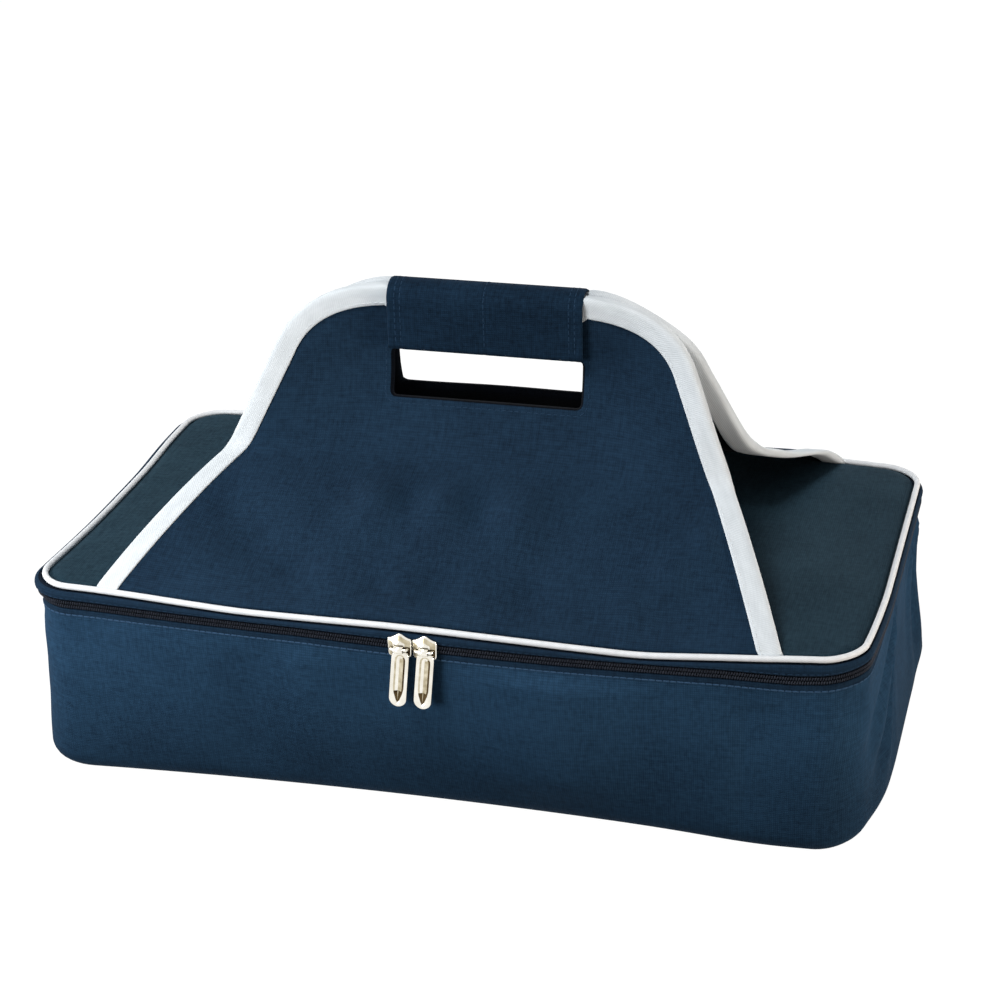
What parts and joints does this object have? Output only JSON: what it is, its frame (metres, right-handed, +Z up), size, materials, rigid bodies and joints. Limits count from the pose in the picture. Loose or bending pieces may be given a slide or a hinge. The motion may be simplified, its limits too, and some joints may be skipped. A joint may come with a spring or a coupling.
{
  "type": "insulated food carrier bag",
  "caption": "Low rectangular insulated carrier bag with a zip-round lid and two piped handle panels that meet in a wrap-over grip above the lid.",
  "frame": {"origin": "on the floor under the middle of the base", "axes": "+X along the bag's length to the right seen from the front, -Y towards the front with the zip pulls, +Z up"},
  "size_m": [0.443, 0.2656, 0.2506],
  "materials": {
    "navy_canvas": "woven polyester canvas, matt navy",
    "dark_canvas": "woven polyester canvas, shaded navy",
    "white_trim": "white ribbed binding tape and piping",
    "black_tape": "black woven tape",
    "zip_coil": "black nylon coil",
    "foam": "white closed-cell foam sheet",
    "board": "grey stiffener board",
    "lining_film": "silver wipe-clean lining film",
    "nickel": "bright nickel plate"
  },
  "bodies": {
    "tub": {"tub_wall": "navy_canvas", "base_panel": "dark_canvas", "base_board": "board", "base_foam": "foam", "wall_foam": "foam", "tub_lining": "lining_film", "tub_seam_binding": "black_tape", "zip_tape_lower": "black_tape", "zip_coil_lower": "zip_coil", "hinge_strip": "dark_canvas"},
    "lid": {"lid_panel": "navy_canvas", "lid_foam": "foam", "lid_lining": "lining_film", "lid_band": "navy_canvas", "lid_piping": "white_trim", "lid_seam_binding": "black_tape", "zip_tape_upper": "black_tape", "zip_coil_upper": "zip_coil", "front_apron_face": "navy_canvas", "front_apron_lining": "dark_canvas", "front_apron_binding_left": "white_trim", "front_apron_binding_right": "white_trim", "rear_apron_face": "navy_canvas", "rear_apron_lining": "dark_canvas", "rear_apron_binding_left": "white_trim", "rear_apron_binding_right": "white_trim"},
    "front_handle": {"front_handle_face": "navy_canvas", "front_handle_core": "foam", "front_handle_lining": "dark_canvas", "front_handle_binding": "white_trim", "grip_loop_tape": "black_tape"},
    "rear_handle": {"rear_handle_face": "navy_canvas", "rear_handle_core": "foam", "rear_handle_lining": "dark_canvas", "rear_handle_binding": "white_trim", "grip_backing": "dark_canvas"},
    "flap": {"grip_flap": "dark_canvas", "grip_hook_tape": "black_tape"},
    "slider_left": {"slider_left": "nickel"},
    "slider_right": {"slider_right": "nickel"},
    "pull_left": {"pull_left": "nickel"},
    "pull_right": {"pull_right": "nickel"}
  },
  "joints": [
    {"name": "lid_hinge", "type": "hinge", "parent": "tub", "child": "lid", "pos_m": [0, 0.1298, 0.1029], "axis": [-1, 0, 0], "range_deg": [0, 150], "deforming": ["hinge_strip"]},
    {"name": "front_handle_fold", "type": "hinge", "parent": "lid", "child": "front_handle", "pos_m": [0, -0.03773, 0.16352], "axis": [1, 0, 0], "range_deg": [0, 120], "deforming": ["grip_flap", "grip_hook_tape"]},
    {"name": "rear_handle_fold", "type": "hinge", "parent": "lid", "child": "rear_handle", "pos_m": [0, 0.03773, 0.16352], "axis": [-1, 0, 0], "range_deg": [0, 120]},
    {"name": "grip_flap_open", "type": "hinge", "parent": "rear_handle", "child": "flap", "pos_m": [0, 0.0099, 0.24885], "axis": [-1, 0, 0], "range_deg": [0, 105]},
    {"name": "slider_left_run", "type": "hinge", "parent": "tub", "child": "slider_left", "pos_m": [0, 1.83254, 0.1029], "axis": [0, 0, -1], "range_deg": [0, 4.7]},
    {"name": "slider_right_run", "type": "hinge", "parent": "tub", "child": "slider_right", "pos_m": [0, 1.83254, 0.1029], "axis": [0, 0, 1], "range_deg": [0, 5.2]},
    {"name": "pull_left_swing", "type": "hinge", "parent": "slider_left", "child": "pull_left", "pos_m": [-0.01604, -0.13413, 0.1044], "axis": [-1, 0.0081, 0], "range_deg": [0, 165]},
    {"name": "pull_right_swing", "type": "hinge", "parent": "slider_right", "child": "pull_right", "pos_m": [-0.00321, -0.1342, 0.1044], "axis": [-1, 0.0016, 0], "range_deg": [0, 165]}
  ]
}
